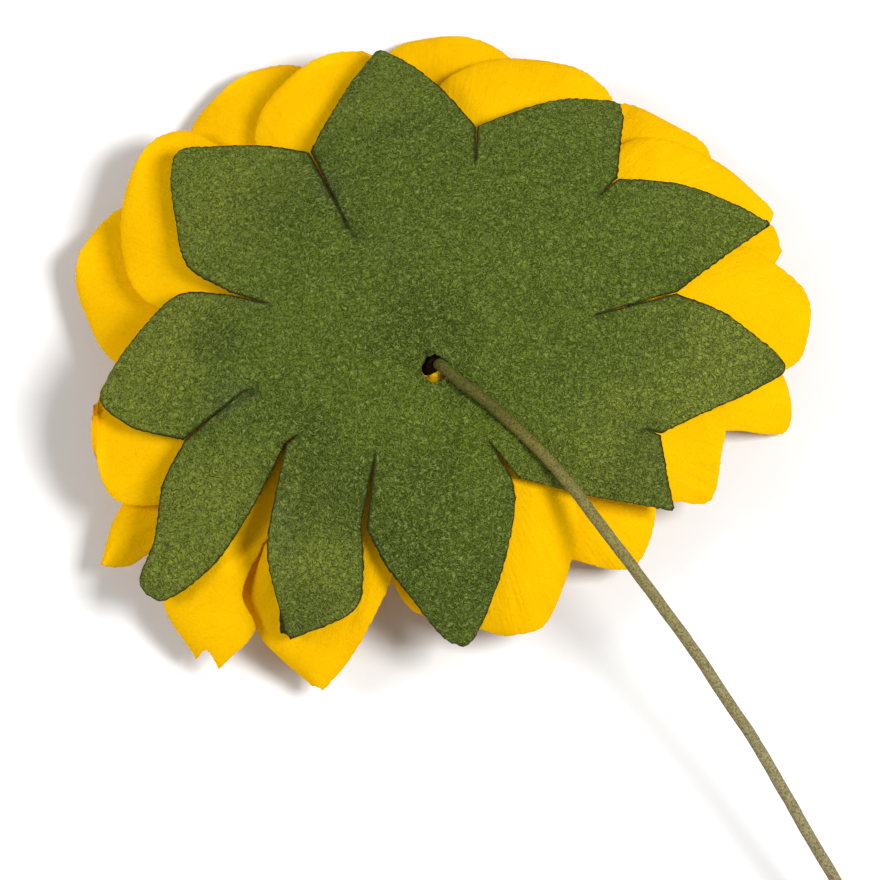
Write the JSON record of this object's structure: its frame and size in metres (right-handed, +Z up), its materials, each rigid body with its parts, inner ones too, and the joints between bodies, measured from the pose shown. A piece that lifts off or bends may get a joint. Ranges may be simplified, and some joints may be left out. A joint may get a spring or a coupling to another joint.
{
  "type": "paper flower",
  "caption": "Cut paper flower lying face down on its petal tips, with a lobed green calyx over yellow petals and a thin covered wire stem.",
  "frame": {"origin": "under the middle of the whole flower's bounding box, on the surface that it lies on", "axes": "+Z up, out of the flower's back; the stem runs towards -Y and a little +X"},
  "size_m": [0.071, 0.0892, 0.0179],
  "materials": {
    "green_paper": "matt, felted fibres",
    "yellow_paper": "matt, felted fibres",
    "centre_paper": "matt, rolled strip",
    "stem_wrap": "matt, wound paper strip"
  },
  "bodies": {
    "root": {"calyx": "green_paper", "back_petals": "yellow_paper", "front_petals": "yellow_paper", "flower_centre": "centre_paper", "stem": "stem_wrap"}
  },
  "joints": []
}
